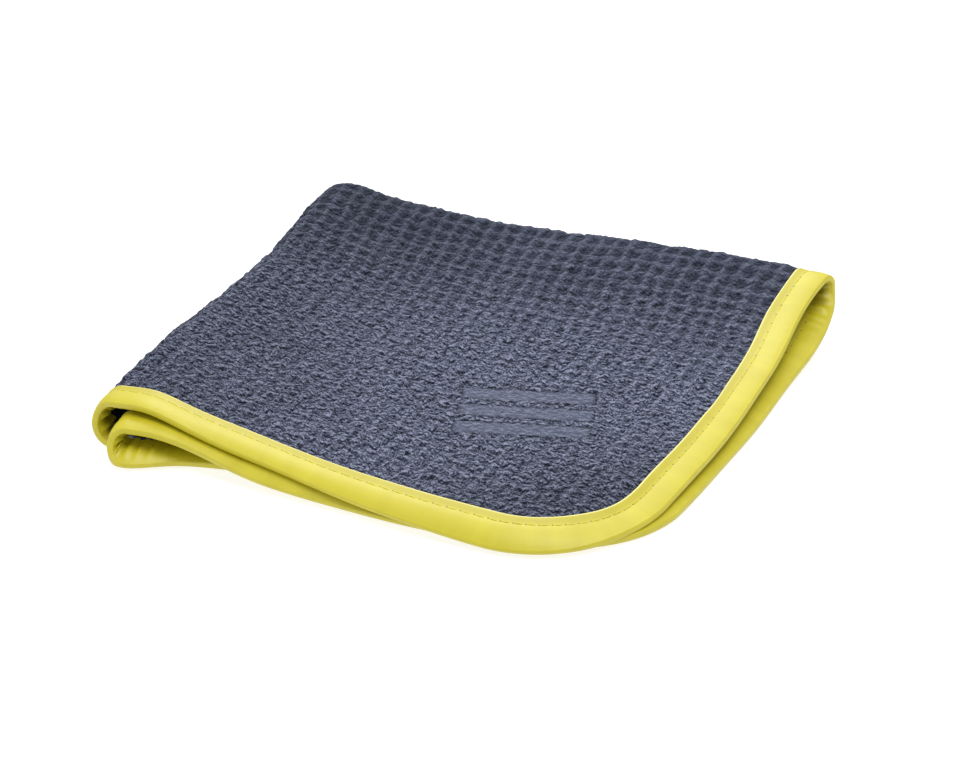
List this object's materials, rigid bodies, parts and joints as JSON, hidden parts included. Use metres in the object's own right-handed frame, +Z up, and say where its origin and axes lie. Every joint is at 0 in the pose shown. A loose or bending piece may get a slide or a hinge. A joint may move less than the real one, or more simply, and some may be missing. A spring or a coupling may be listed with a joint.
{
  "type": "folded waffle detailing cloth",
  "caption": "Square waffle-weave microfibre drying and detailing cloth with rounded corners and a satin bound edge, lying folded in quarters with its bound edges at the front and right.",
  "frame": {"origin": "middle of the folded cloth's box, on the surface that it lies on", "axes": "+Z up; +X from the left-hand fold to the free bound edge at the right; +Y from the free bound edge at the front to the back fold"},
  "size_m": [0.204, 0.205, 0.027],
  "materials": {
    "waffle_microfibre": "matt waffle-weave microfibre pile",
    "satin_tape": "glossy woven satin tape",
    "sewing_thread": "spun polyester thread"
  },
  "bodies": {
    "root": {"waffle_cloth": "waffle_microfibre", "binding_tape": "satin_tape", "needle_thread": "sewing_thread", "bobbin_thread": "sewing_thread"}
  },
  "joints": []
}
